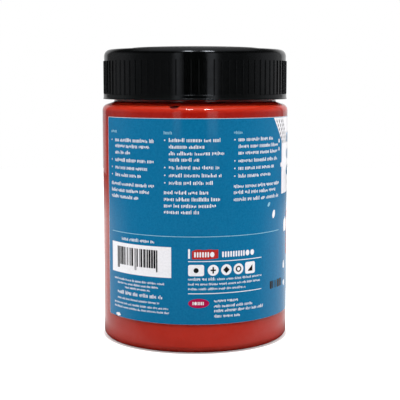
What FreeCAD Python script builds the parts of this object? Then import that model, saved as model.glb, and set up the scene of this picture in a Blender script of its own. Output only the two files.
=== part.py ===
"""Wide-mouth paint jar: clear jar, ribbed screw cap, liner, wrap label and paint.

Millimetres. The origin is at the centre of the foot, +Z up, and -Y is the side of the
label that carries the printed panels.
"""
import FreeCAD, Part
import math
import os

Vector = FreeCAD.Vector
UP = Vector(0, 0, 1)
ORIGIN = Vector(0, 0, 0)

# Driving dimensions of the jar
BODY_R = 41.0
BODY_WALL = 1.0
SHOULDER_Z = 102.4            # where the straight wall and the shoulder cone would meet
SHOULDER_SLOPE_DEG = 17.5
SHOULDER_ROUND = 3.0
FOOT_ROUND = 2.5
FOOT_RING_INNER_R = 33.0
FOOT_RECESS_R = 30.0
FOOT_RECESS_DEPTH = 2.2
FLOOR_WALL = 1.4
NECK_R = 35.8
NECK_BORE_R = 34.5
NECK_TOP_Z = 123.6

# Screw thread shared by the neck and the cap: single start, six turns to the inch
LEAD = 25.4 / 6
THREAD_DEPTH = 1.6
THREAD_ROOT_WIDTH = 2.2
THREAD_CREST_WIDTH = 0.9
THREAD_START_Z = 111.5
NECK_THREAD_TURNS = 1.6
CAP_THREAD_TURNS = 1.4
THREAD_FADE_DEG = 30.0        # each end of a thread rises from the wall over this angle
THREAD_STEP_DEG = 15.0
FLANK_PLAY = 0.4              # the cap thread sits this far above the middle of the groove

# Cap
CAP_BOTTOM_Z = 105.2
CAP_TOP_Z = 126.7
CAP_LAND_R = 40.1
CAP_BAND_R = 40.45
CAP_LIP_R = 40.6
CAP_LIP_HEIGHT = 0.5
CAP_TOP_ROUND = 2.9
CAP_BORE_R = 37.9
CAP_PANEL = 1.6
CAP_DISC_R = 28.0
CAP_DISC_RISE = 0.7
RIB_BOTTOM_Z = 107.4
RIB_TOP_Z = 121.8
RIB_TIP_R = 40.5
RIB_COUNT = 80
RIB_WIDTH = 0.6
RIB_TIP_WIDTH = 0.34

# Liner, label and paint
LINER_R = 37.4
LINER_PLAY = 0.15             # to the neck's rim below and to the cap's panel above
LABEL_BOTTOM_Z = 12.4
LABEL_TOP_Z = 97.9
LABEL_FILM = 0.1
LABEL_LEFT_DEG = -65.0        # from the front, positive towards +X
LABEL_WRAP_DEG = 320.0
PAINT_LEVEL_Z = 106.0
BUBBLE_R = 2.2
BUBBLE_DEG = -12.6

SHOULDER_RISE = math.tan(math.radians(SHOULDER_SLOPE_DEG))
SHOULDER_SKEW = BODY_WALL / math.cos(math.radians(SHOULDER_SLOPE_DEG))


def shoulder_z(radius):
    """Height of the shoulder's outer cone at a radius."""
    return SHOULDER_Z + (BODY_R - radius) * SHOULDER_RISE


def radial(radius, z):
    """A point of a profile drawn in the XZ plane."""
    return Vector(radius, 0, z)


def rounded_outline(corners):
    """A closed wire through (radius, z, rounding) corners, each rounded by a tangent arc."""
    starts = []
    ends = []
    middles = []
    count = len(corners)
    for index, (radius, z, rounding) in enumerate(corners):
        here = radial(radius, z)
        before = (radial(*corners[index - 1][:2]) - here).normalize()
        after = (radial(*corners[(index + 1) % count][:2]) - here).normalize()
        half = before.getAngle(after) / 2
        setback = rounding / math.tan(half)
        bisector = (before + after).normalize()
        starts.append(here + before * setback)
        ends.append(here + after * setback)
        middles.append(here + bisector * (rounding / math.sin(half) - rounding))
    edges = []
    for index in range(count):
        if corners[index][2] > 0:
            arc = Part.Arc(starts[index], middles[index], ends[index])
            edges.append(arc.toShape())
        edges.append(Part.LineSegment(ends[index], starts[(index + 1) % count]).toShape())
    return Part.Wire(edges)


def turned(corners, start_deg=0.0, sweep_deg=360.0):
    """The solid of revolution of an outline about the jar's axis."""
    face = Part.Face(rounded_outline(corners))
    face.rotate(ORIGIN, UP, start_deg)
    return face.revolve(ORIGIN, UP, sweep_deg)


def thread(wall_r, crest_r, start_z, turns):
    """A tapered-end helical ridge that rises from wall_r to crest_r, its root sunk in the wall."""
    outward = 1 if crest_r > wall_r else -1
    flank = (THREAD_ROOT_WIDTH - THREAD_CREST_WIDTH) / 2 / THREAD_DEPTH
    sunk = 0.5
    total = turns * 360.0
    steps = round(total / THREAD_STEP_DEG)
    sections = []
    for step in range(steps + 1):
        angle = total * step / steps
        into = min(angle, total - angle) / THREAD_FADE_DEG
        height = THREAD_DEPTH * max(0.04, math.sin(math.pi / 2 * min(1.0, into)))
        middle_z = start_z + LEAD * angle / 360.0
        root_half = THREAD_ROOT_WIDTH / 2 + flank * sunk
        crest_half = THREAD_ROOT_WIDTH / 2 - flank * height
        root_r = wall_r - outward * sunk
        top_r = wall_r + outward * height
        corners = [
            radial(root_r, middle_z - root_half),
            radial(top_r, middle_z - crest_half),
            radial(top_r, middle_z + crest_half),
            radial(root_r, middle_z + root_half),
        ]
        section = Part.makePolygon(corners + corners[:1])
        section.rotate(ORIGIN, UP, angle)
        sections.append(section)
    return Part.makeLoft(sections, True, False)


def cavity_corners():
    """The inside of the jar from the middle of the floor to the start of the neck's bore."""
    return [
        (0, FOOT_RECESS_DEPTH + FLOOR_WALL, 0),
        (FOOT_RECESS_R, FOOT_RECESS_DEPTH + FLOOR_WALL, 2.0),
        (FOOT_RING_INNER_R + 1.0, FLOOR_WALL, 2.0),
        (BODY_R - BODY_WALL, FLOOR_WALL, FOOT_ROUND - BODY_WALL / 2),
        (BODY_R - BODY_WALL, shoulder_z(BODY_R - BODY_WALL) - SHOULDER_SKEW, SHOULDER_ROUND - BODY_WALL),
        (NECK_BORE_R, shoulder_z(NECK_BORE_R) - SHOULDER_SKEW, 1.2),
    ]


def make_jar_body():
    """Thin-walled jar with a raised floor inside the foot ring, a coned shoulder and a neck."""
    outside = [
        (0, FOOT_RECESS_DEPTH, 0),
        (FOOT_RECESS_R, FOOT_RECESS_DEPTH, 2.0),
        (FOOT_RING_INNER_R, 0, 1.0),
        (BODY_R, 0, FOOT_ROUND),
        (BODY_R, SHOULDER_Z, SHOULDER_ROUND),
        (NECK_R, shoulder_z(NECK_R), 0.6),
        (NECK_R, NECK_TOP_Z, 0.4),
        (NECK_BORE_R, NECK_TOP_Z, 0.3),
    ]
    shell = turned(outside + cavity_corners()[::-1])
    ridge = thread(NECK_R, NECK_R + THREAD_DEPTH, THREAD_START_Z, NECK_THREAD_TURNS)
    return shell.fuse(ridge)


def make_paint_fill():
    """The paint up to just above the shoulder, with one air bubble under the shoulder."""
    corners = cavity_corners()
    corners += [(NECK_BORE_R, PAINT_LEVEL_Z, 0), (0, PAINT_LEVEL_Z, 0)]
    paint = turned(corners)
    angle = math.radians(BUBBLE_DEG - 90)
    bubble_r = BODY_R - BODY_WALL - 2.0
    bubble_z = shoulder_z(bubble_r) - SHOULDER_SKEW
    centre = Vector(bubble_r * math.cos(angle), bubble_r * math.sin(angle), bubble_z)
    return paint.cut(Part.makeSphere(BUBBLE_R, centre))


def make_wrap_label():
    """Film label wrapped round the straight wall, leaving a bare strip on the left and back."""
    corners = [
        (BODY_R, LABEL_BOTTOM_Z, 0),
        (BODY_R + LABEL_FILM, LABEL_BOTTOM_Z, 0),
        (BODY_R + LABEL_FILM, LABEL_TOP_Z, 0),
        (BODY_R, LABEL_TOP_Z, 0),
    ]
    return turned(corners, LABEL_LEFT_DEG - 90, LABEL_WRAP_DEG)


def make_cap_liner():
    """Foam sealing disc between the neck's rim and the cap's top panel."""
    bottom = NECK_TOP_Z + LINER_PLAY
    top = CAP_TOP_Z - CAP_PANEL - LINER_PLAY
    return turned([(0, bottom, 0), (LINER_R, bottom, 0.15), (LINER_R, top, 0.15), (0, top, 0)])


def make_rib_crown():
    """The ribbed stretch of the cap: a toothed ring that is fused on the cap's smooth wall."""
    pitch = 2 * math.pi / RIB_COUNT
    foot = RIB_WIDTH / 2 / CAP_LAND_R
    tip = RIB_TIP_WIDTH / 2 / RIB_TIP_R

    def at(radius, angle):
        return Vector(radius * math.cos(angle), radius * math.sin(angle), RIB_BOTTOM_Z)

    edges = []
    for index in range(RIB_COUNT):
        rib = (index + 0.5) * pitch
        flat_from = rib - pitch + foot
        flat_to = rib - foot
        land = Part.Arc(at(CAP_LAND_R, flat_from), at(CAP_LAND_R, rib - pitch / 2), at(CAP_LAND_R, flat_to))
        edges.append(land.toShape())
        tooth = [at(CAP_LAND_R, rib - foot), at(RIB_TIP_R, rib - tip), at(RIB_TIP_R, rib + tip)]
        tooth.append(at(CAP_LAND_R, rib + foot))
        edges += [Part.LineSegment(*ends).toShape() for ends in zip(tooth, tooth[1:])]
    toothed = Part.Wire(edges)
    hole = Part.Wire(Part.makeCircle(CAP_BORE_R + 1.0, Vector(0, 0, RIB_BOTTOM_Z)))
    ring = Part.Face(toothed).cut(Part.Face(hole))
    return ring.extrude(Vector(0, 0, RIB_TOP_Z - RIB_BOTTOM_Z))


def make_cap_shell():
    """Screw cap: smooth bands above and below the ribs, a raised top disc, and a thread inside."""
    corners = [
        (0, CAP_TOP_Z - CAP_PANEL, 0),
        (CAP_BORE_R, CAP_TOP_Z - CAP_PANEL, 0.5),
        (CAP_BORE_R, CAP_BOTTOM_Z + 0.8, 0),
        (CAP_BORE_R + 0.6, CAP_BOTTOM_Z, 0.2),
        (CAP_LIP_R, CAP_BOTTOM_Z, 0.2),
        (CAP_LIP_R, CAP_BOTTOM_Z + CAP_LIP_HEIGHT, 0),
        (CAP_BAND_R, CAP_BOTTOM_Z + CAP_LIP_HEIGHT + 0.15, 0),
        (CAP_BAND_R, RIB_BOTTOM_Z, 0.15),
        (CAP_LAND_R, RIB_BOTTOM_Z, 0),
        (CAP_LAND_R, CAP_TOP_Z, CAP_TOP_ROUND),
        (CAP_DISC_R + CAP_DISC_RISE, CAP_TOP_Z, 0.3),
        (CAP_DISC_R, CAP_TOP_Z + CAP_DISC_RISE, 0.3),
        (0, CAP_TOP_Z + CAP_DISC_RISE, 0),
    ]
    groove_middle = THREAD_START_Z - LEAD / 2 + FLANK_PLAY
    ridge = thread(CAP_BORE_R, CAP_BORE_R - THREAD_DEPTH, groove_middle, CAP_THREAD_TURNS)
    return turned(corners).fuse([make_rib_crown(), ridge])


PARTS = {
    "jar_body": make_jar_body,
    "paint_fill": make_paint_fill,
    "wrap_label": make_wrap_label,
    "cap_liner": make_cap_liner,
    "cap_shell": make_cap_shell,
}

os.makedirs("parts", exist_ok=True)
for name, make in PARTS.items():
    shape = make()
    shape.exportStep("parts/" + name + ".step")
    box = shape.BoundBox
    print(name, shape.isValid(), len(shape.Solids), "solids", round(shape.Volume), "mm3",
          "z", round(box.ZMin, 2), round(box.ZMax, 2))
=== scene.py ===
"""Looks of the paint jar: clear jar, red paint, printed wrap label, ribbed black cap and liner.

Outlines are in millimetres, in the frame's own axes: origin at the foot's centre, +Z up, and
the label's printed panels towards -Y. Meshes are scaled to metres when they are made.
"""

import math
import random

import bpy
import numpy as np
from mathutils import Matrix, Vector


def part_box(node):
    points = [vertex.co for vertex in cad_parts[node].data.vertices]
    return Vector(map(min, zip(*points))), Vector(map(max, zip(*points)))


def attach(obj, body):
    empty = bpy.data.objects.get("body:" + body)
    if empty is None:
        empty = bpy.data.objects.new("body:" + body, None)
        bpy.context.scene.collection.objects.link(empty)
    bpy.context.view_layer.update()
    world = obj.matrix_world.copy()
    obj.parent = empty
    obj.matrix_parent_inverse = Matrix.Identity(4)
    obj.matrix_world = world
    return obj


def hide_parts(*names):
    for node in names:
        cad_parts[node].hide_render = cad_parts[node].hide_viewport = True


MM = 0.001

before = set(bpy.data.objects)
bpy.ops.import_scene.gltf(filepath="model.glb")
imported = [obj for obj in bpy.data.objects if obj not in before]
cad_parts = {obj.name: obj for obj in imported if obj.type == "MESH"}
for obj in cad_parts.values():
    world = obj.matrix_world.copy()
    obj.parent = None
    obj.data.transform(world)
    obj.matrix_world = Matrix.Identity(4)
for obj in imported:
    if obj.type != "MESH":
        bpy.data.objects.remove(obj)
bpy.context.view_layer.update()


# ---------------------------------------------------------------- sizes, in millimetres

def box_mm(node):
    """Lowest and highest corners of a CAD node, in millimetres."""
    low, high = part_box(node)
    return low / MM, high / MM


JAR_LOW, JAR_HIGH = box_mm("jar_body")
PAINT_LOW, PAINT_HIGH = box_mm("paint_fill")
LABEL_LOW, LABEL_HIGH = box_mm("wrap_label")
LINER_LOW, LINER_HIGH = box_mm("cap_liner")
CAP_LOW, CAP_HIGH = box_mm("cap_shell")

BODY_R = (JAR_HIGH.x - JAR_LOW.x) / 2
WALL = BODY_R - (PAINT_HIGH.x - PAINT_LOW.x) / 2
FLOOR_WALL = PAINT_LOW.z
NECK_TOP_Z = JAR_HIGH.z
NECK_R = 35.8
NECK_BORE_R = 34.5
SHOULDER_Z = 102.4
SHOULDER_SLOPE = math.radians(17.5)
SHOULDER_ROUND = 3.0
FOOT_ROUND = 2.5
FOOT_RING_INNER_R = 33.0
FOOT_RECESS_R = 30.0
FOOT_RECESS_DEPTH = 2.2
SEAM_DEG = (41.0, 221.0)      # bearings of the mould's parting line, from the front towards +X
SEAM_RISE = 0.05
SEAM_HALF = 0.004             # half the parting line's width, as an angle in radians

LEAD = 25.4 / 6
THREAD_DEPTH = 1.6
THREAD_ROOT_HALF = 1.1
THREAD_CREST_HALF = 0.45
THREAD_START_Z = 111.5
NECK_THREAD_TURNS = 1.6
CAP_THREAD_TURNS = 1.4
CAP_THREAD_START_Z = THREAD_START_Z - LEAD / 2 + 0.4
THREAD_FADE = math.radians(30)

CAP_LIP_R = (CAP_HIGH.x - CAP_LOW.x) / 2
CAP_BAND_R = CAP_LIP_R - 0.15
CAP_LAND_R = CAP_LIP_R - 0.5
CAP_BORE_R = 37.9
CAP_DISC_R = 28.0
CAP_DISC_RISE = 0.7
CAP_EDGE_Z = CAP_HIGH.z - CAP_DISC_RISE
CAP_PANEL = 1.6
RIB_BOTTOM_Z = 107.4
RIB_TOP_Z = 121.8
RIB_COUNT = 80
RIB_RISE = 0.4
RIB_HALF = 0.3                # half a rib's width at its foot

LABEL_R = LABEL_HIGH.x
LABEL_BOTTOM = LABEL_LOW.z
LABEL_TOP = LABEL_HIGH.z
LABEL_START = math.radians(-65) * BODY_R      # along the wall from the front, towards +X
LABEL_END = math.radians(255) * BODY_R

PAINT_OVERLAP = 0.25          # the paint's skin lies this far inside the clear wall
MENISCUS = 0.6                # the paint stands this much higher at the neck's wall
BUBBLE_DEG = -12.6            # the air bubble's bearing, from the front towards +X
BUBBLE_AXIS_R = 38.0          # its distance from the jar's axis
BUBBLE_HALF = 2.2             # half its width
BUBBLE_DENT = 1.6             # its depth
RIPPLE_R = 32.0               # the open paint's ripples end here
RIPPLE_RISE = 0.22


# ---------------------------------------------------------------- mesh tools

def add_mesh(name, points, faces, sharp_deg=35):
    """A mesh object from points in millimetres, smooth except where it turns sharply."""
    mesh = bpy.data.meshes.new(name)
    mesh.from_pydata((np.asarray(points, float) * MM).tolist(), [], faces)
    mesh.validate()
    mesh.shade_smooth()
    mesh.set_sharp_from_angle(angle=math.radians(sharp_deg))
    piece = bpy.data.objects.new(name, mesh)
    bpy.context.scene.collection.objects.link(piece)
    return piece


def unit(vector):
    return vector / np.linalg.norm(vector)


def rounded(corners, step_deg=9.0):
    """(radius, z) points through (radius, z, rounding) corners, with arcs at the rounded ones."""
    points = [np.array(corners[0][:2], float)]
    for before, here, after in zip(corners, corners[1:], corners[2:]):
        corner = np.array(here[:2], float)
        back = unit(np.array(before[:2], float) - corner)
        ahead = unit(np.array(after[:2], float) - corner)
        if here[2] == 0:
            points.append(corner)
            continue
        half = math.acos(np.clip(back @ ahead, -1, 1)) / 2
        centre = corner + unit(back + ahead) * here[2] / math.sin(half)
        first = corner + back * here[2] / math.tan(half) - centre
        last = corner + ahead * here[2] / math.tan(half) - centre
        turn = math.pi - 2 * half
        steps = max(2, math.ceil(turn / math.radians(step_deg)))
        for step in range(steps + 1):
            share = step / steps
            mixed = math.sin((1 - share) * turn) * first + math.sin(share * turn) * last
            points.append(centre + mixed / math.sin(turn))
    points.append(np.array(corners[-1][:2], float))
    return points


def finer(points, z_low, z_high, longest, wall_r=None):
    """The same outline with short steps between two heights, on one upright wall if it's named."""
    result = [points[0]]
    for here, there in zip(points, points[1:]):
        if wall_r is not None and max(abs(here[0] - wall_r), abs(there[0] - wall_r)) > 0.01:
            result.append(there)
            continue
        shares = [0, 1]
        for z in (z_low, z_high):
            if (here[1] - z) * (there[1] - z) < 0:
                shares.append((z - here[1]) / (there[1] - here[1]))
        stops = [here + (there - here) * share for share in sorted(shares)]
        for start, stop in zip(stops, stops[1:]):
            inside = z_low <= (start[1] + stop[1]) / 2 <= z_high
            pieces = math.ceil(np.linalg.norm(stop - start) / longest) if inside else 1
            result += [start + (stop - start) * step / pieces for step in range(1, pieces + 1)]
    return result


def lathe(name, outline, angles, relief=None, sharp_deg=35):
    """A closed solid of revolution from the axis back to the axis, with its inside on the left.

    relief(angles, radius, z) gives (change of radius, change of z) at each angle.
    """
    angles = np.asarray(sorted(angles))
    count = len(angles)
    rings = outline[1:-1]
    points = [(0.0, 0.0, outline[0][1])]
    for radius, z in rings:
        out, up = relief(angles, radius, z) if relief else (0.0, 0.0)
        ring_r = radius + out + 0 * angles
        ring_z = z + up + 0 * angles
        points += list(zip(ring_r * np.cos(angles), ring_r * np.sin(angles), ring_z))
    points.append((0.0, 0.0, outline[-1][1]))
    last = len(points) - 1
    after = [(index + 1) % count for index in range(count)]
    faces = [(0, 1 + after[i], 1 + i) for i in range(count)]
    for ring in range(len(rings) - 1):
        low = 1 + ring * count
        high = low + count
        faces += [(low + i, low + after[i], high + after[i], high + i) for i in range(count)]
    top = last - count
    faces += [(top + i, top + after[i], last) for i in range(count)]
    return add_mesh(name, points, faces, sharp_deg)


def around(count):
    """Evenly spaced angles."""
    return [2 * math.pi * index / count for index in range(count)]


def from_front(degrees):
    """The mathematical angle of a bearing measured from the front towards +X."""
    return math.radians(degrees - 90) % (2 * math.pi)


def smooth_step(value):
    value = np.clip(value, 0, 1)
    return value * value * (3 - 2 * value)


def thread_height(angles, z, start_z, turns):
    """How far a helical ridge stands out of its wall at a height, 0 where there is none."""
    total = turns * 2 * math.pi
    height = np.zeros_like(angles)
    for lap in range(math.ceil(turns) + 1):
        along = angles + lap * 2 * math.pi
        off = np.abs(z - start_z - LEAD * along / (2 * math.pi))
        flank = (THREAD_ROOT_HALF - off) / (THREAD_ROOT_HALF - THREAD_CREST_HALF)
        ends = np.clip(np.minimum(along, total - along) / THREAD_FADE, 0, 1)
        ridge = THREAD_DEPTH * smooth_step(flank) * np.sin(ends * math.pi / 2)
        height = np.maximum(height, ridge)
    return height


# ---------------------------------------------------------------- materials

# Places of the colour sockets on a Mix node, whose names are shared by all its types.
MIX_SHARE, MIX_LOWER, MIX_UPPER, MIX_RESULT = 0, 6, 7, 2


class Paintbox:
    """One Principled material and the few nodes that its surface detail needs."""

    def __init__(self, name, **sockets):
        self.material = bpy.data.materials.new(name)
        self.material.use_nodes = True
        self.nodes = self.material.node_tree.nodes
        self.links = self.material.node_tree.links
        self.shader = self.nodes["Principled BSDF"]
        for socket, value in sockets.items():
            self.shader.inputs[socket.replace("_", " ")].default_value = value
        self.place = self.nodes.new("ShaderNodeTexCoord").outputs["Object"]

    def noise(self, scale, detail=3.0, roughness=0.5, stretch=(1, 1, 1)):
        """A noise field in the piece's own space; scale is in features per metre."""
        mapping = self.nodes.new("ShaderNodeMapping")
        mapping.inputs["Scale"].default_value = stretch
        self.links.new(self.place, mapping.inputs["Vector"])
        noise = self.nodes.new("ShaderNodeTexNoise")
        noise.inputs["Scale"].default_value = scale
        noise.inputs["Detail"].default_value = detail
        noise.inputs["Roughness"].default_value = roughness
        self.links.new(mapping.outputs["Vector"], noise.inputs["Vector"])
        return noise.outputs["Fac"]

    def cells(self, scale):
        """Distance to the nearest cell centre of a Voronoi field."""
        cells = self.nodes.new("ShaderNodeTexVoronoi")
        cells.inputs["Scale"].default_value = scale
        self.links.new(self.place, cells.inputs["Vector"])
        return cells.outputs["Distance"]

    def ramp(self, field, stops):
        """Colours by a field's value: stops are (position, colour)."""
        ramp = self.nodes.new("ShaderNodeValToRGB")
        elements = ramp.color_ramp.elements
        while len(elements) < len(stops):
            elements.new(0.5)
        for element, (position, colour) in zip(elements, stops):
            element.position = position
            element.color = (*colour, 1)
        self.links.new(field, ramp.inputs["Fac"])
        return ramp.outputs["Color"]

    def by_height(self, low_mm, high_mm):
        """A number that goes from 0 to 1 between two heights in the piece."""
        split = self.nodes.new("ShaderNodeSeparateXYZ")
        self.links.new(self.place, split.inputs["Vector"])
        span = self.nodes.new("ShaderNodeMapRange")
        span.inputs["From Min"].default_value = low_mm * MM
        span.inputs["From Max"].default_value = high_mm * MM
        self.links.new(split.outputs["Z"], span.inputs["Value"])
        return span.outputs["Result"]

    def blend(self, share, lower, upper):
        """A mix of two colours, by a number from 0 to 1."""
        mix = self.nodes.new("ShaderNodeMix")
        mix.data_type = "RGBA"
        self.links.new(share, mix.inputs[MIX_SHARE])
        self.links.new(lower, mix.inputs[MIX_LOWER])
        self.links.new(upper, mix.inputs[MIX_UPPER])
        return mix.outputs[MIX_RESULT]

    def between(self, field, low, high):
        """A field's middle range mapped to a number from low to high."""
        span = self.nodes.new("ShaderNodeMapRange")
        span.inputs["From Min"].default_value = 0.3
        span.inputs["From Max"].default_value = 0.7
        span.inputs["To Min"].default_value = low
        span.inputs["To Max"].default_value = high
        self.links.new(field, span.inputs["Value"])
        return span.outputs["Result"]

    def colour(self, output):
        self.links.new(output, self.shader.inputs["Base Color"])

    def roughness(self, output):
        self.links.new(output, self.shader.inputs["Roughness"])

    def bump(self, *layers):
        """Stacked bumps: each layer is (field, height in millimetres)."""
        normal = None
        for field, height in layers:
            bump = self.nodes.new("ShaderNodeBump")
            bump.inputs["Distance"].default_value = height * MM
            self.links.new(field, bump.inputs["Height"])
            if normal is not None:
                self.links.new(normal, bump.inputs["Normal"])
            normal = bump.outputs["Normal"]
        self.links.new(normal, self.shader.inputs["Normal"])


def clear_plastic():
    """Blow-moulded clear plastic: faint flow waves and slightly uneven gloss."""
    box = Paintbox("clear_plastic", Base_Color=(0.97, 0.985, 0.985, 1), IOR=1.57,
                   Transmission_Weight=1.0)
    box.roughness(box.between(box.noise(90), 0.015, 0.05))
    box.bump((box.noise(45, detail=1, stretch=(1, 1, 0.3)), 0.03))
    return box.material


def paint_material():
    """Thick acrylic paint with faint pigment clouds and painted light and shade by height: a darker
    painted shade above the label under the cap, a painted highlight along the shoulder, a dark band
    of painted shade in the neck under the cap, and the bright painted tone again on the open top.

    It wets the clear wall, so it hardly mirrors anything of its own there.
    """
    box = Paintbox("red_paint", IOR=1.5, Specular_IOR_Level=0.05)
    clouds = box.noise(70, detail=3)
    low = box.ramp(clouds, [(0.3, (0.60, 0.041, 0.023)), (0.7, (0.64, 0.046, 0.027))])
    # Painted shade: this darker tone stands for the cap's shade on the wall above the label.
    high = box.ramp(clouds, [(0.3, (0.46, 0.009, 0.003)), (0.7, (0.50, 0.011, 0.004))])
    # Painted highlight: this bright tone stands for the light from above on the shoulder's corner;
    # the open top takes it too.
    painted_lit_tone = box.ramp(clouds, [(0.3, (0.84, 0.052, 0.018)), (0.7, (0.88, 0.062, 0.022))])
    # Painted shade: this dark tone stands for the shadow under the cap on the paint in the neck.
    neck = box.ramp(clouds, [(0.3, (0.16, 0.005, 0.002)), (0.7, (0.19, 0.007, 0.003))])
    tone = box.blend(box.by_height(SHOULDER_Z - 16, SHOULDER_Z - 2), low, high)
    tone = box.blend(box.by_height(SHOULDER_Z - 2.5, SHOULDER_Z), tone, painted_lit_tone)
    tone = box.blend(box.by_height(SHOULDER_Z + 0.6, SHOULDER_Z + 1.2), tone, neck)
    # The open top of the paint takes the painted bright tone again.
    box.colour(box.blend(box.by_height(PAINT_HIGH.z - 1.1, PAINT_HIGH.z - 0.8), tone, painted_lit_tone))
    box.roughness(box.between(box.noise(260), 0.22, 0.34))
    box.bump((box.noise(110, detail=2), 0.03))
    return box.material


def ink(name, dark, light, rough=(0.07, 0.13)):
    """Printed film: a fine grain between two tones under a thin varnish."""
    box = Paintbox(name, IOR=1.5, Specular_IOR_Level=0.38)
    box.colour(box.ramp(box.noise(1400, detail=2), [(0.3, dark), (0.7, light)]))
    box.roughness(box.between(box.noise(500), *rough))
    box.bump((box.noise(420, detail=3), 0.003), (box.noise(60, detail=1), 0.02))
    return box.material


def black_plastic():
    """Glossy moulded black plastic with fine grain, handling haze and a few light scuffs."""
    box = Paintbox("black_plastic", IOR=1.5, Specular_Tint=(0.87, 0.92, 1.0, 1))
    haze = box.noise(180, detail=5, roughness=0.65)
    box.colour(box.ramp(haze, [(0.35, (0.0006, 0.0008, 0.0008)), (0.7, (0.0016, 0.0019, 0.0019))]))
    box.roughness(box.between(box.noise(320, detail=6, roughness=0.7), 0.08, 0.19))
    box.bump((box.noise(1500, detail=2), 0.004), (box.noise(240, detail=2), 0.012))
    return box.material


def foam():
    """White closed-cell foam sheet with a fine pebbled skin."""
    box = Paintbox("white_foam", IOR=1.45, Subsurface_Weight=0.15, Subsurface_Scale=0.001)
    box.colour(box.ramp(box.noise(700), [(0.3, (0.74, 0.74, 0.71)), (0.7, (0.84, 0.84, 0.82))]))
    box.roughness(box.between(box.noise(900), 0.55, 0.7))
    box.bump((box.cells(1600), 0.05), (box.noise(300), 0.03))
    return box.material


INK_TONES = {
    "white": ((0.80, 0.79, 0.82), (0.88, 0.87, 0.90)),
    "blue": ((0.002, 0.130, 0.282), (0.005, 0.161, 0.334)),
    "pale_blue": ((0.22, 0.48, 0.62), (0.30, 0.56, 0.70)),
    "black": ((0.008, 0.008, 0.009), (0.014, 0.014, 0.015)),
    "red": ((0.40, 0.018, 0.016), (0.50, 0.030, 0.024)),
    "magenta": ((0.36, 0.004, 0.055), (0.44, 0.008, 0.075)),
    "yellow": ((0.80, 0.42, 0.02), (0.88, 0.50, 0.03)),
}


# ---------------------------------------------------------------- jar and paint

def cavity(grown=0.0):
    """The jar's inside from the floor's middle to the neck's bore, grown into the wall."""
    skew = WALL / math.cos(SHOULDER_SLOPE)
    rise = math.tan(SHOULDER_SLOPE)
    inner_r = BODY_R - WALL + grown
    bore_r = NECK_BORE_R + grown
    lift = grown / math.cos(SHOULDER_SLOPE)
    return [
        (0, FOOT_RECESS_DEPTH + FLOOR_WALL - grown, 0),
        (FOOT_RECESS_R, FOOT_RECESS_DEPTH + FLOOR_WALL - grown, 2.0),
        (FOOT_RING_INNER_R + 1, FLOOR_WALL - grown, 2.0),
        (inner_r, FLOOR_WALL - grown, FOOT_ROUND - WALL / 2),
        (inner_r, SHOULDER_Z + (BODY_R - inner_r) * rise - skew + lift, SHOULDER_ROUND - WALL),
        (bore_r, SHOULDER_Z + (BODY_R - bore_r) * rise - skew + lift, 1.0),
    ]


def make_jar():
    """The clear jar: one closed skin with the thread and the mould's parting lines raised on it."""
    outside = [
        (0, FOOT_RECESS_DEPTH + 0.3, 0),
        (2.5, FOOT_RECESS_DEPTH + 0.3, 0.2),
        (3.2, FOOT_RECESS_DEPTH, 0.2),
        (FOOT_RECESS_R, FOOT_RECESS_DEPTH, 2.0),
        (FOOT_RING_INNER_R, 0, 1.0),
        (BODY_R, 0, FOOT_ROUND),
        (BODY_R, SHOULDER_Z, SHOULDER_ROUND),
        (NECK_R, SHOULDER_Z + (BODY_R - NECK_R) * math.tan(SHOULDER_SLOPE), 0.6),
        (NECK_R, NECK_TOP_Z, 0.4),
        (NECK_BORE_R, NECK_TOP_Z, 0.3),
    ]
    thread_top_z = THREAD_START_Z + LEAD * NECK_THREAD_TURNS
    outline = rounded(outside + cavity()[::-1])
    outline = finer(outline, THREAD_START_Z - 1.5, thread_top_z + 1.5, 0.16, NECK_R)
    seams = [from_front(bearing) for bearing in SEAM_DEG]
    angles = around(320) + [seam + off for seam in seams for off in (-0.009, -0.003, 0.003, 0.009)]

    def relief(at, radius, z):
        if abs(radius - NECK_R) < 0.01 and z > THREAD_START_Z - 3:
            return thread_height(at, z, THREAD_START_Z, NECK_THREAD_TURNS), 0.0
        if radius > BODY_R - 1.5 and z > FOOT_ROUND / 2:
            near = np.minimum.reduce([np.abs(at - seam) for seam in seams])
            return SEAM_RISE * np.exp(-(near / SEAM_HALF) ** 2), 0.0
        return 0.0, 0.0

    return lathe("clear_jar", outline, angles, relief)


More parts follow.
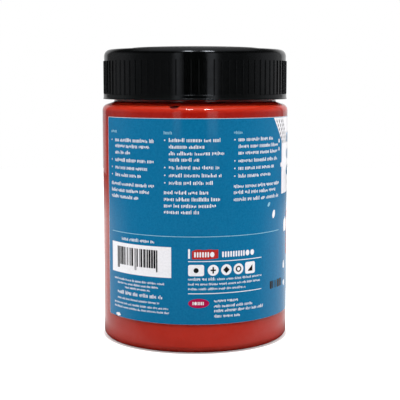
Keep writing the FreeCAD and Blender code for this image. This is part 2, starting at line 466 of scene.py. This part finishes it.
def make_paint():
    """The paint: it fills the jar to the neck, and one air bubble sits under the shoulder."""
    level = PAINT_HIGH.z
    bore_r = NECK_BORE_R + PAINT_OVERLAP
    corners = cavity(PAINT_OVERLAP)
    corners += [(bore_r, level, 0), (NECK_BORE_R - 1.0, level - MENISCUS, 0.8)]
    corners += [(0, level - MENISCUS, 0)]
    outline = finer(rounded(corners), SHOULDER_Z - 4, SHOULDER_Z + 3, 0.25)
    ripple_rings = [np.array((ring, level - MENISCUS)) for ring in np.linspace(31.5, 1.5, 31)]
    outline = outline[:-1] + ripple_rings + outline[-1:]
    bubble = from_front(BUBBLE_DEG)
    near = [bubble + math.radians(off / 4) for off in range(-18, 19)]
    coarse = [at for at in around(288) if abs(at - bubble) > math.radians(4.8)]
    rise = math.tan(SHOULDER_SLOPE)
    bubble_z = SHOULDER_Z + (BODY_R - BUBBLE_AXIS_R) * rise - WALL / math.cos(SHOULDER_SLOPE)

    def relief(at, radius, z):
        if z > level - 0.7 and radius < RIPPLE_R:
            swirl = np.sin(3 * at + radius * 0.45) * np.sin(radius * 0.21 + 0.8)
            fade = np.clip((RIPPLE_R - radius) / 4, 0, 1) * np.clip(radius / 6, 0, 1)
            return 0.0, RIPPLE_RISE * swirl * fade
        across = (at - bubble) * BUBBLE_AXIS_R / BUBBLE_HALF
        along = math.hypot(radius - BUBBLE_AXIS_R, z - bubble_z) / (BUBBLE_HALF * 0.9)
        if z > SHOULDER_Z - 5 and along < 1:
            dent = np.sqrt(np.clip(1 - along ** 2 - across ** 2, 0, 1)) * BUBBLE_DENT
            return -dent * math.sin(SHOULDER_SLOPE), -dent * math.cos(SHOULDER_SLOPE)
        return 0.0, 0.0

    return lathe("paint", outline, near + coarse, relief, sharp_deg=60)


# ---------------------------------------------------------------- cap and liner

def make_cap():
    """The ribbed cap: smooth bands above and below the ribs, raised top disc, inner thread."""
    panel_z = CAP_EDGE_Z - CAP_PANEL
    corners = [
        (0, panel_z, 0),
        (24.0, panel_z, 0),
        (24.6, panel_z - 0.25, 0.1),
        (25.2, panel_z, 0),
        (CAP_BORE_R, panel_z, 0.5),
        (CAP_BORE_R, CAP_LOW.z + 0.8, 0.2),
        (CAP_BORE_R + 0.6, CAP_LOW.z, 0.2),
        (CAP_LIP_R, CAP_LOW.z, 0.2),
        (CAP_LIP_R, CAP_LOW.z + 0.5, 0.1),
        (CAP_BAND_R, CAP_LOW.z + 0.7, 0.1),
        (CAP_BAND_R, RIB_BOTTOM_Z, 0.25),
        (CAP_LAND_R, RIB_BOTTOM_Z + 0.06, 0),
        (CAP_LAND_R, RIB_BOTTOM_Z + 0.12, 0),
        (CAP_LAND_R, (RIB_BOTTOM_Z + RIB_TOP_Z) / 2, 0),
        (CAP_LAND_R, RIB_TOP_Z - 0.12, 0),
        (CAP_LAND_R, RIB_TOP_Z, 0),
        (CAP_LAND_R, CAP_EDGE_Z, 2.9),
        (CAP_DISC_R + CAP_DISC_RISE, CAP_EDGE_Z, 0.35),
        (CAP_DISC_R, CAP_HIGH.z, 0.35),
        (1.6, CAP_HIGH.z, 0.15),
        (1.3, CAP_HIGH.z - 0.35, 0.15),
        (0, CAP_HIGH.z - 0.35, 0),
    ]
    thread_top_z = CAP_THREAD_START_Z + LEAD * CAP_THREAD_TURNS
    outline = rounded(corners)
    outline = finer(outline, CAP_THREAD_START_Z - 1.5, thread_top_z + 1.5, 0.2, CAP_BORE_R)
    pitch = 2 * math.pi / RIB_COUNT
    half = RIB_HALF / CAP_LAND_R
    ribs = [(index + 0.5) * pitch for index in range(RIB_COUNT)]
    crown = [half * share for share in (-1, -0.7, -0.47, -0.23, 0, 0.23, 0.47, 0.7, 1)]
    offsets = crown + [pitch / 3, pitch * 2 / 3]
    angles = [rib + off for rib in ribs for off in offsets]

    def relief(at, radius, z):
        if abs(radius - CAP_BORE_R) < 0.01 and z > CAP_LOW.z + 0.9:
            return -thread_height(at, z, CAP_THREAD_START_Z, CAP_THREAD_TURNS), 0.0
        if abs(radius - CAP_LAND_R) < 0.01 and RIB_BOTTOM_Z + 0.1 < z < RIB_TOP_Z - 0.1:
            nearest = np.abs((at / pitch) % 1 - 0.5) * pitch
            return RIB_RISE * (1 - np.minimum(nearest / half, 1) ** 3), 0.0
        return 0.0, 0.0

    return lathe("ribbed_cap", outline, angles, relief, sharp_deg=28)


def make_liner():
    """Foam sealing disc, pressed in slightly where it meets the neck's rim."""
    middle = (NECK_R + NECK_BORE_R) / 2
    edge = (LINER_HIGH.x - LINER_LOW.x) / 2
    press = 0.12
    corners = [
        (0, LINER_LOW.z, 0),
        (NECK_BORE_R - 0.3, LINER_LOW.z, 0.2),
        (NECK_BORE_R, LINER_LOW.z + press, 0.2),
        (middle, LINER_LOW.z + press, 0),
        (NECK_R, LINER_LOW.z + press, 0.2),
        (NECK_R + 0.3, LINER_LOW.z, 0.2),
        (edge, LINER_LOW.z, 0.3),
        (edge, LINER_HIGH.z, 0.3),
        (0, LINER_HIGH.z, 0),
    ]
    return lathe("foam_liner", rounded(corners, 20), around(160), sharp_deg=50)


# ---------------------------------------------------------------- label

SHEET_STEP = 0.9              # longest step along the wall in a wide or curved slab
INK_BASE = 0.06               # the inks' undersides stand this far off the jar's wall
INK_STEP = 0.012              # each ink's outer face lies this much above the one before


class Sheet:
    """Thin closed slabs that lie on the jar's wall, collected into one mesh.

    Places on the label are (along, height): along the wall from the front towards +X, and
    above the foot, both in millimetres.
    """

    def __init__(self, inner_r, outer_r):
        self.inner_r = inner_r
        self.outer_r = outer_r
        self.points = []
        self.faces = []

    def slab(self, along, tops, bottoms):
        """A slab between two edges, given as heights at a list of places along the wall."""
        first = len(self.points)
        for place, top, bottom in zip(along, tops, bottoms):
            angle = place / BODY_R - math.pi / 2
            for radius in (self.outer_r, self.inner_r):
                for z in (bottom, top):
                    self.points.append((radius * math.cos(angle), radius * math.sin(angle), z))
        for index in range(len(along) - 1):
            a = first + 4 * index
            b = a + 4
            self.faces += [(a, b, b + 1, a + 1), (a + 2, a + 3, b + 3, b + 2)]
            self.faces += [(a + 1, b + 1, b + 3, a + 3), (a, a + 2, b + 2, b)]
        end = first + 4 * (len(along) - 1)
        self.faces += [(first, first + 1, first + 3, first + 2), (end, end + 2, end + 3, end + 1)]

    def shape(self, left, right, top, bottom, step=SHEET_STEP):
        """A slab whose edges are functions of the place along the wall."""
        count = max(1, math.ceil((right - left) / step))
        along = [left + (right - left) * index / count for index in range(count + 1)]
        self.slab(along, [top(at) for at in along], [bottom(at) for at in along])

    def bar(self, left, right, bottom, top):
        self.shape(left, right, lambda at: top, lambda at: bottom)

    def rounded_bar(self, left, right, bottom, top, corner):
        """A rectangle with rounded corners."""
        def inset(at):
            gap = corner - min(at - left, right - at)
            return corner - math.sqrt(max(corner ** 2 - gap ** 2, 0)) if gap > 0 else 0.0

        ends = [corner * (1 - math.cos(math.radians(deg))) for deg in range(10, 91, 16)]
        count = max(2, int((right - left) / SHEET_STEP))
        middle = np.linspace(left + corner, right - corner, count)
        along = [left + end for end in ends[:-1]] + list(middle)
        along += [right - end for end in ends[-2::-1]]
        self.slab(along, [top - inset(at) for at in along], [bottom + inset(at) for at in along])

    def oval(self, centre, height, half_width, half_height, lean=0.0, wobble=None):
        """An ellipse; lean shears it, and wobble(angle) scales its edge."""
        turns = np.radians(np.arange(4, 177, 8.6))
        scale = wobble or (lambda turn: 1.0)
        along = [centre - half_width * math.cos(turn) for turn in turns]
        tops = [height + half_height * math.sin(turn) * scale(turn) for turn in turns]
        bottoms = [height - half_height * math.sin(turn) * scale(-turn) for turn in turns]
        shear = [lean * (at - centre) for at in along]
        self.slab(along, np.add(tops, shear), np.add(bottoms, shear))

    def text(self, left, right, height, size, seed):
        """A line of mock print: words of plain upright ticks, with no letters in them."""
        dice = random.Random(seed)
        kinds = [(0, 1), (0, 1), (0, 1), (0, 1), (0, 0.7), (0.3, 1), (0.15, 0.85), (0, 1.3)]
        at = left
        while at < right - size:
            word_end = min(at + size * dice.uniform(1.6, 6.5), right)
            while at < word_end - 0.2 * size:
                wide = size * dice.uniform(0.19, 0.34)
                low, high = dice.choice(kinds)
                self.bar(at, at + wide, height + low * size, height + high * size)
                at += wide + size * dice.uniform(0.2, 0.32)
            at += 0.6 * size

    def beads(self, left, right, height, size, seed):
        """A bold mock heading: a row of discs and rounded bars."""
        dice = random.Random(seed)
        at = left
        while at < right - 0.3 * size:
            if dice.random() < 0.45 and at < right - 0.8 * size:
                self.oval(at + 0.4 * size, height + size / 2, 0.4 * size, size / 2)
                at += 1.02 * size
            else:
                wide = 0.3 * size
                self.rounded_bar(at, at + wide, height, height + size, wide * 0.45)
                at += 0.5 * size

    def piece(self, name):
        return add_mesh(name, self.points, self.faces)


def blob_edge(seed, lobes=5, depth=0.22):
    """An uneven edge for splashes."""
    dice = random.Random(seed)
    waves = [(dice.randint(2, lobes + 2), dice.uniform(0, 6.28)) for _ in range(3)]
    return lambda turn: 1 + depth * sum(math.sin(k * turn + shift) for k, shift in waves) / 2


def print_sheets():
    """One sheet for each ink; later inks lie a hair above earlier ones."""
    order = ["white", "pale_blue", "magenta", "red", "yellow", "black", "white_over"]
    return {name: Sheet(BODY_R + INK_BASE, LABEL_R + INK_STEP * (level + 1))
            for level, name in enumerate(order)}


def print_columns(inks):
    """Three columns of mock instructions, each with a short heading and dotted items."""
    columns = [
        # heading left edge, item left edge, [(height, right edge, item starts here, indented)]
        (-42.9, -39.6, [
            (87.7, -17.4, True, True), (85.2, -19.3, False, True), (82.5, -28.6, False, True),
            (79.3, -17.4, True, True), (76.1, -20.3, True, True), (73.0, -23.8, True, True),
            (69.2, -17.5, False, False), (66.5, -18.0, False, False), (63.8, -25.4, False, False)]),
        (-13.0, -10.8, [
            (88.3, 10.7, True, True), (85.6, 4.0, False, True), (82.9, 12.0, False, True),
            (80.3, 1.6, False, True), (77.1, 9.9, True, True), (73.9, 11.2, True, True),
            (70.8, 8.2, True, True), (66.8, 6.1, False, False), (64.0, 11.2, False, False),
            (61.3, 10.8, False, False), (58.7, 1.6, False, False)]),
        (16.4, 18.5, [
            (88.4, 39.9, True, True), (85.6, 43.7, False, True), (82.9, 43.2, False, True),
            (79.7, 41.8, True, True), (76.6, 39.3, True, True), (73.4, 38.5, True, True),
            (69.1, 43.6, False, False), (66.6, 42.4, False, False), (63.7, 43.4, False, False)]),
    ]
    for number, (left, indent, lines) in enumerate(columns):
        inks["pale_blue"].text(left, left + 4.4, 91.4, 1.0, 10 + number)
        for height, right, starts, indented in lines:
            if starts:
                inks["white"].oval(left + 0.4, height + 0.7, 0.28, 0.28)
            begin = indent if indented else left
            inks["white"].text(begin, right, height, 1.2, round(height * 10) + number)


def print_code_block(inks):
    """The striped code panel and the small print round it."""
    inks["pale_blue"].bar(-42.6, 43.7, 49.15, 49.4)
    inks["white"].text(-35.2, -17.6, 46.0, 1.15, 41)
    inks["white"].bar(-42.8, -10.0, 31.9, 44.8)
    dice = random.Random(7)
    narrow = 0.29
    at = -38.4
    stripe = 0
    while at < -15.6:
        wide = narrow * dice.choice((1, 1, 2, 2, 3))
        low = 34.0 if stripe in (0, 1, 12, 13) or at > -16.8 else 35.5
        inks["black"].bar(at, min(at + wide, -15.3), low, 43.2)
        at += wide + narrow * dice.choice((1, 1, 2, 3))
        stripe += 1
    lines = [(28.7, -41.0, -13.1, 0.72), (27.0, -38.5, -15.8, 0.72), (25.4, -33.4, -19.6, 0.72),
             (22.7, -38.6, -14.0, 1.25), (20.4, -38.6, -15.4, 0.72), (18.3, -41.2, -10.5, 0.72),
             (16.6, -41.2, -10.5, 0.72)]
    for height, left, right, size in lines:
        inks["white"].text(left, right, height, size, round(height * 10))


def print_slogan_block(inks):
    """Large mock heading with a brushed patch, five round and square badges, and small print."""
    white = inks["white"]
    over = inks["white_over"]
    white.bar(-2.9, -2.1, 40.2, 44.2)
    inks["red"].shape(
        -1.3, 9.6,
        lambda at: 43.9 + 0.12 * math.sin(at * 1.3) - 0.5 * math.exp(-(at + 1.3) * 1.5),
        lambda at: 39.9 + 0.12 * math.sin(at * 0.9 + 1) + 0.5 * math.exp(-(9.6 - at) * 1.5))
    over.beads(-0.4, 9.0, 40.75, 2.2, 56)
    white.beads(11.3, 26.7, 40.55, 2.4, 53)
    white.bar(-2.9, 30.8, 38.85, 39.15)
    white.bar(-2.9, 30.8, 25.35, 25.65)
    white.rounded_bar(-2.9, 3.7, 32.9, 37.6, 0.8)
    white.rounded_bar(21.9, 27.0, 32.8, 37.8, 0.9)
    badge_z = 35.25
    for centre in (7.5, 13.2, 18.7):
        white.oval(centre, badge_z, 2.3, 2.3)
    black = inks["black"]
    black.oval(0.4, badge_z, 1.05, 1.05)
    black.bar(7.2, 7.8, 33.9, 36.6)
    black.bar(6.4, 8.6, 34.95, 35.55)
    black.shape(11.8, 14.6, lambda at: 36.65 - abs(at - 13.2),
                lambda at: 33.85 + abs(at - 13.2), step=0.35)
    black.oval(18.7, badge_z, 1.3, 1.3)
    over.oval(18.7, badge_z, 0.75, 0.75)
    black.shape(23.3, 25.6, lambda at: 34.2 + (at - 23.3), lambda at: 33.9)
    lines = [(31.0, -2.9, 8.3, 1.0), (31.0, 9.2, 30.8, 0.75), (29.0, -2.9, 30.8, 0.75),
             (27.0, -2.9, 22.0, 0.75), (21.7, 7.9, 18.6, 1.0), (19.5, 7.9, 25.7, 0.95),
             (17.5, 8.0, 32.2, 1.0), (15.2, 8.0, 19.6, 1.0)]
    for height, left, right, size in lines:
        white.text(left, right, height, size, round(height * 10 + right))
    inks["magenta"].oval(1.45, 21.4, 4.35, 1.95)
    over.beads(-1.1, 4.1, 20.7, 1.4, 54)


def print_date_code(inks):
    """A jet-printed batch mark, as a row of plain upright dashes."""
    for index, wide in enumerate((1.5, 0.7, 0.7, 1.5, 1.5, 0.7)):
        left = 36.6 + index * 1.95
        inks["black"].rounded_bar(left, left + wide, 24.4, 27.8, 0.3)


def print_front(inks):
    """The jar's front: a white panel with hatched edge, paint splashes and a brushed swatch."""
    white = inks["white"]
    black = inks["black"]
    over = inks["white_over"]
    white.shape(39.0, 46.6, lambda at: LABEL_TOP - 0.3,
                lambda at: LABEL_TOP - 0.5 - (at - 39.0) * 1.33)
    white.shape(46.6, 112.0, lambda at: LABEL_TOP - 0.3, lambda at: 64.6 + 0.03 * (at - 46.6))
    for row in range(6):
        for column in range(4):
            left = 41.2 + row * 1.15 + column * 2.1
            top = LABEL_TOP - 1.0 - row * 1.75
            black.shape(left, left + 0.55, lambda at: top - (at - left) * 1.4,
                        lambda at: top - 1.0 - (at - left) * 1.4)
    white.rounded_bar(43.1, 44.1, 86.9, 88.5, 0.3)
    white.rounded_bar(43.2, 44.0, 83.5, 85.0, 0.3)
    white.rounded_bar(45.4, 47.0, 76.4, 78.2, 0.3)
    inks["pale_blue"].oval(35.5, 61.1, 0.9, 0.8, lean=0.6)
    white.oval(39.2, 56.6, 1.1, 1.7, lean=0.5)
    white.oval(-38.3, 13.35, 1.7, 0.7, wobble=blob_edge(9))
    splashes = [(52.5, 50.5, 2.6, 3.4, 1), (58.0, 57.0, 1.6, 1.3, 2), (50.5, 33.0, 1.0, 1.7, 3),
                (50.8, 25.0, 1.0, 1.3, 4), (122.0, 60.5, 1.8, 2.2, 5), (127.5, 52.0, 1.1, 1.4, 6),
                (118.5, 84.0, 1.6, 1.2, 7), (124.0, 90.5, 0.9, 1.1, 8)]
    for at, height, half_width, half_height, seed in splashes:
        white.oval(at, height, half_width, half_height, wobble=blob_edge(seed))
    stroke = blob_edge(21, lobes=9, depth=0.1)
    inks["red"].shape(
        55.0, 113.0,
        lambda at: 56.5 + 1.2 * math.sin(at * 0.21) + 0.5 * stroke(at * 0.9),
        lambda at: 38.5 + 1.0 * math.sin(at * 0.17 + 2) - 0.7 * stroke(at * 1.3 + 1))
    for index, wide in enumerate((46.0, 38.0, 50.0)):
        low = 86.5 - index * 7.2
        inks["blue_over"].rounded_bar(54.0, 54.0 + wide, low, low + 4.4, 2.1)
    for index in range(4):
        over.oval(66.0 + index * 12.0, 47.3, 3.4, 3.4, wobble=blob_edge(30 + index, depth=0.12))
    disc_z = 24.5
    for centre in (66.0, 84.0, 102.0):
        inks["yellow"].oval(centre, disc_z, 6.2, 6.2)
        black.oval(centre, disc_z, 3.6, 3.6)
    over.oval(66.0, disc_z, 2.4, 2.4)
    over.rounded_bar(82.2, 85.8, 22.7, 26.3, 0.9)
    over.shape(100.2, 103.8, lambda at: 26.4 - abs(at - 102.0) * 1.6, lambda at: 22.9)


def print_third_panel(inks):
    """A narrow panel of colour chips and ruled lines on the label's far end."""
    white = inks["white"]
    chips = ["red", "yellow", "magenta", "white", "pale_blue", "black"]
    for index, name in enumerate(chips):
        row, column = divmod(index, 2)
        left = 137.0 + column * 19.0
        top = 90.0 - row * 11.0
        inks[name].rounded_bar(left, left + 15.0, top - 7.0, top, 1.2)
        white.text(left, left + 13.0, top - 9.2, 0.8, 70 + index)
    for index in range(9):
        right = 172.0 - (index * 7) % 11
        white.text(137.0, right, 50.0 - index * 2.6, 0.95, 80 + index)
    white.bar(137.0, 173.0, 54.0, 54.25)
    white.bar(137.0, 173.0, 25.4, 25.65)
    white.text(137.0, 166.0, 21.0, 1.3, 91)
    white.text(137.0, 158.0, 18.0, 0.95, 92)


def make_label():
    """The label's film, its blue ground, and every printed ink as its own piece."""
    film = Sheet(BODY_R + 0.02, BODY_R + 0.07)
    film.rounded_bar(LABEL_START, LABEL_END, LABEL_BOTTOM, LABEL_TOP, 1.0)
    ground = Sheet(BODY_R + 0.05, LABEL_R)
    ground.rounded_bar(
        LABEL_START + 0.2, LABEL_END - 0.2, LABEL_BOTTOM + 0.03, LABEL_TOP - 0.14, 0.9)
    inks = print_sheets()
    inks["blue_over"] = Sheet(BODY_R + INK_BASE, LABEL_R + 0.05)
    print_columns(inks)
    print_code_block(inks)
    print_slogan_block(inks)
    print_date_code(inks)
    print_front(inks)
    print_third_panel(inks)
    pieces = {"label_film": (film, "white"), "label_ground": (ground, "blue")}
    for name, sheet in inks.items():
        pieces["print_" + name] = (sheet, name.replace("_over", ""))
    return [(sheet.piece(name), tone) for name, (sheet, tone) in pieces.items()]


# ---------------------------------------------------------------- assembly

def dress(piece, material, body):
    """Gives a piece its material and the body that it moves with."""
    piece.data.materials.clear()
    piece.data.materials.append(material)
    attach(piece, body)
    return piece


def build_object():
    jar = dress(make_jar(), clear_plastic(), "jar")
    jar.visible_shadow = False
    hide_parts("jar_body")
    paint = dress(make_paint(), paint_material(), "jar")
    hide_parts("paint_fill")
    cap = dress(make_cap(), black_plastic(), "cap")
    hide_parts("cap_shell")
    liner = dress(make_liner(), foam(), "liner")
    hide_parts("cap_liner")
    inks = {tone: ink("ink_" + tone, *colours) for tone, colours in INK_TONES.items()}
    for piece, tone in make_label():
        dress(piece, inks[tone], "jar")
        if piece.name == "label_film":
            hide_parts("wrap_label")


# ---------------------------------------------------------------- studio

def look_at(thing, target):
    direction = Vector(target) - thing.location
    thing.rotation_euler = direction.to_track_quat("-Z", "Y").to_euler()


def add_light(name, bearing_deg, distance, height, size, power, target=(0, 0, 0.06)):
    """A rectangular softbox; the bearing is from the front towards +X."""
    data = bpy.data.lights.new(name, "AREA")
    data.shape = "RECTANGLE"
    data.size, data.size_y = size
    data.energy = power
    light = bpy.data.objects.new(name, data)
    bpy.context.scene.collection.objects.link(light)
    turn = math.radians(bearing_deg - 90)
    light.location = (distance * math.cos(turn), distance * math.sin(turn), height)
    look_at(light, target)
    return light


def build_lights():
    """Two high softboxes in front, for the glints on the shoulder and rim, and one overhead."""
    add_light("key_left", -10, 1.3, 1.75, (0.30, 0.32), 6.5)
    add_light("key_right", 21, 1.3, 1.70, (0.32, 0.36), 8.0)
    overhead = add_light("overhead", 180, 0.2, 1.6, (0.8, 0.8), 10.0)
    overhead.visible_glossy = False


# Brightness of the studio in a mirrored ray, by its bearing from the front towards +X.
STUDIO_GLOSS = [
    (-180, 0.60), (-147, 0.50), (-142, 0.10), (-120, 0.18), (-100, 0.26), (-75, 0.13),
    (-55, 0.09), (-38, 0.10), (-28, 0.09), (-25, 0.62), (-19, 0.62), (-15, 0.005), (2, 0.005),
    (13, 0.01), (17, 0.76), (25, 0.76), (29, 0.11), (38, 0.08), (60, 0.08), (78, 0.16),
    (95, 0.27), (120, 0.33), (133, 0.38), (137, 0.12), (142, 0.75), (180, 0.75),
]
# The ceiling's own brightness and how the walls fade upwards, by the mirrored ray's rise.
CEILING_GLOSS = [(0.0, 0.0), (0.68, 0.0), (0.84, 0.35), (1.0, 0.6)]
WALL_FADE = [(0.25, 1.0), (0.5, 0.15)]
# How the walls fade at the table's edge, by the rise plus a half.
TABLE_FADE = [(0.41, 0.25), (0.485, 1.0)]

# Light for everything that isn't mirrored: at the sides of the jar, more from behind and less
# from the front, and more towards both sides.
STUDIO_FILL = 1.24
STUDIO_FILL_BACK = 1.25
STUDIO_FILL_SIDES = 0.35
STUDIO_FILL_WET = 1.2         # makes up for light that the clear wall keeps from the paint

FLOOR_R = 0.9
FLOOR_WHITE = 0.88            # added glow where the floor is looked at, so that it reads white
FLOOR_CENTRE_BACK = 1.1       # where its mirrored brightness turns about, in body radii
FLOOR_GLOSS_ROUND = [
    (0.35, 0.03), (0.5, 0.15), (0.62, 0.45), (0.78, 0.65), (0.86, 0.72), (0.97, 1.0)]
FLOOR_GLOSS_FAR = [(0.4, 1.0), (0.55, 0.55), (0.7, 0.25), (0.9, 0.1)]
CONTACT_NEAR = 1.5            # width of the painted contact shadow where the floor is looked at
CONTACT_WIDE = 15.0           # and where it is mirrored or seen through the clear wall


class StudioNodes:
    """The nodes of the studio's world or floor, and the few kinds that both of them use."""

    def __init__(self, owner):
        owner.use_nodes = True
        self.owner = owner
        self.nodes = owner.node_tree.nodes
        self.links = owner.node_tree.links

    def mirrored(self, seen):
        """1 for a ray that a gloss sends back, and 0 for one that goes through clear plastic."""
        outside = self.math("SUBTRACT", 1.0, seen.outputs["Is Transmission Ray"])
        return self.math("MULTIPLY", outside, seen.outputs["Is Glossy Ray"])

    def looked_at(self, seen):
        """1 for a ray that is looked along, straight or through clear plastic, and else 0."""
        first = self.math("LESS_THAN", seen.outputs["Diffuse Depth"], 0.5)
        through = self.math("MULTIPLY", first, seen.outputs["Is Transmission Ray"])
        return self.math("MAXIMUM", through, seen.outputs["Is Camera Ray"])

    def math(self, operation, *values):
        """A Math node's result: each value is a number or another node's output."""
        node = self.nodes.new("ShaderNodeMath")
        node.operation = operation
        for socket, value in zip(node.inputs, values):
            if isinstance(value, (int, float)):
                socket.default_value = value
            else:
                self.links.new(value, socket)
        return node.outputs["Value"]

    def ramp(self, field, stops):
        """A grey by a field's value: stops are (position, grey)."""
        ramp = self.nodes.new("ShaderNodeValToRGB")
        elements = ramp.color_ramp.elements
        while len(elements) < len(stops):
            elements.new(0.5)
        for element, (position, grey) in zip(elements, stops):
            element.position = position
            element.color = (grey, grey, grey, 1)
        self.links.new(field, ramp.inputs["Fac"])
        return ramp.outputs["Color"]


def build_world():
    """White where it is looked at, an even fill light, and soft dark surroundings in the gloss."""
    sky = StudioNodes(bpy.data.worlds.new("studio"))
    bpy.context.scene.world = sky.owner
    sky.owner.cycles.sampling_method = "NONE"
    direction = sky.nodes.new("ShaderNodeTexCoord").outputs["Generated"]
    split = sky.nodes.new("ShaderNodeSeparateXYZ")
    sky.links.new(direction, split.inputs["Vector"])
    right, back, rise = split.outputs

    bearing = sky.math("ARCTAN2", right, sky.math("MULTIPLY", back, -1))
    turn = sky.math("MULTIPLY_ADD", bearing, 0.5 / math.pi, 0.5)
    gloss = sky.ramp(turn, [(deg / 360 + 0.5, grey) for deg, grey in STUDIO_GLOSS])
    table = sky.ramp(sky.math("ADD", rise, 0.5), TABLE_FADE)
    gloss = sky.math("MULTIPLY", gloss, sky.math("MAXIMUM", table, back))
    gloss = sky.math("MULTIPLY", gloss, sky.ramp(rise, WALL_FADE))
    gloss = sky.math("ADD", gloss, sky.ramp(rise, CEILING_GLOSS))

    seen = sky.nodes.new("ShaderNodeLightPath")
    mirrored = sky.mirrored(seen)
    other = sky.math("SUBTRACT", 1.0, mirrored)
    fill = sky.math("MULTIPLY_ADD", back, STUDIO_FILL_BACK, STUDIO_FILL)
    fill = sky.math("MULTIPLY_ADD", sky.math("MULTIPLY", right, right), STUDIO_FILL_SIDES, fill)
    wet = sky.math("MULTIPLY_ADD", seen.outputs["Is Transmission Ray"], STUDIO_FILL_WET - 1, 1)
    fill = sky.math("MULTIPLY", sky.math("MULTIPLY", other, wet), fill)
    gloss = sky.math("MULTIPLY", gloss, mirrored)
    light = sky.math("ADD", fill, gloss)
    white = sky.looked_at(seen)
    light = sky.math("MULTIPLY", light, sky.math("SUBTRACT", 1.0, white))
    light = sky.math("ADD", light, white)
    sky.links.new(light, sky.nodes["Background"].inputs["Strength"])
    sky.nodes["Background"].inputs["Color"].default_value = (1, 1, 1, 1)


def build_floor():
    """A white sheet on the table, dim in the gloss in front and bright behind the jar, with a
    painted contact shadow round the foot.
    """
    bpy.ops.mesh.primitive_circle_add(vertices=128, radius=FLOOR_R, fill_type="NGON")
    floor = bpy.context.object
    floor.name = "studio_floor"
    paper = StudioNodes(bpy.data.materials.new("studio_floor"))
    shader = paper.nodes["Principled BSDF"]
    shader.inputs["Roughness"].default_value = 0.9
    shader.inputs["Specular IOR Level"].default_value = 0.0
    shader.inputs["Emission Color"].default_value = (1, 1, 1, 1)
    place = paper.nodes.new("ShaderNodeTexCoord").outputs["Object"]
    length = paper.nodes.new("ShaderNodeVectorMath")
    length.operation = "LENGTH"
    paper.links.new(place, length.inputs[0])
    away = length.outputs["Value"]

    shift = paper.nodes.new("ShaderNodeVectorMath")
    shift.inputs[1].default_value = (0, BODY_R * MM * FLOOR_CENTRE_BACK, 0)
    paper.links.new(place, shift.inputs[0])
    turn = paper.nodes.new("ShaderNodeVectorMath")
    turn.operation = "NORMALIZE"
    paper.links.new(shift.outputs[0], turn.inputs[0])
    split = paper.nodes.new("ShaderNodeSeparateXYZ")
    paper.links.new(turn.outputs[0], split.inputs["Vector"])
    back = paper.math("MULTIPLY_ADD", split.outputs["Y"], 0.5, 0.5)
    gloss = paper.ramp(back, FLOOR_GLOSS_ROUND)
    gloss = paper.math("MULTIPLY", gloss, paper.ramp(away, FLOOR_GLOSS_FAR))

    seen = paper.nodes.new("ShaderNodeLightPath")
    # Painted contact shadow: the floor's glow, and its brightness in the gloss, fade out towards
    # the jar's foot.
    edge = paper.math("MULTIPLY_ADD", away, 1 / (CONTACT_NEAR * MM), -BODY_R / CONTACT_NEAR)
    spread = CONTACT_NEAR / CONTACT_WIDE
    spread = paper.math("MULTIPLY_ADD", seen.outputs["Is Camera Ray"], 1 - spread, spread)
    edge = paper.math("MULTIPLY", edge, spread)
    outside_painted_contact_shadow = paper.math("MINIMUM", paper.math("MAXIMUM", edge, 0.0), 1.0)
    glow = paper.math("MULTIPLY", paper.looked_at(seen), outside_painted_contact_shadow)
    glow = paper.math("MULTIPLY", glow, FLOOR_WHITE)
    mirrored = paper.mirrored(seen)
    gloss = paper.math("MULTIPLY", gloss, paper.math("MULTIPLY", mirrored, outside_painted_contact_shadow))
    paper.links.new(paper.math("ADD", glow, gloss), shader.inputs["Emission Strength"])
    tone = paper.ramp(mirrored, [(0.0, 0.7), (1.0, 0.01)])
    paper.links.new(tone, shader.inputs["Base Color"])
    paper.owner.cycles.emission_sampling = "NONE"
    floor.data.materials.append(paper.owner)


# The camera's place in body radii, its tilt and turn in degrees, and its lens in millimetres.
CAMERA_BACK = 11.305
CAMERA_UP = 2.755
CAMERA_TILT_DEG = -6.53
CAMERA_TURN_DEG = 0.272
CAMERA_LENS = 93.4


def build_camera():
    """A long lens a little above the label's middle, turned slightly to its right."""
    data = bpy.data.cameras.new("camera")
    data.sensor_width = 36.0
    data.lens = CAMERA_LENS
    data.clip_start = 0.01
    camera = bpy.data.objects.new("camera", data)
    bpy.context.scene.collection.objects.link(camera)
    camera.location = (0, -CAMERA_BACK * BODY_R * MM, CAMERA_UP * BODY_R * MM)
    tilt = math.radians(CAMERA_TILT_DEG)
    turn = math.radians(CAMERA_TURN_DEG)
    camera.rotation_euler = (math.pi / 2 + tilt, 0, -turn)
    bpy.context.scene.camera = camera


build_camera()
build_object()
build_world()
build_lights()
build_floor()
bpy.context.scene.view_settings.view_transform = "Standard"
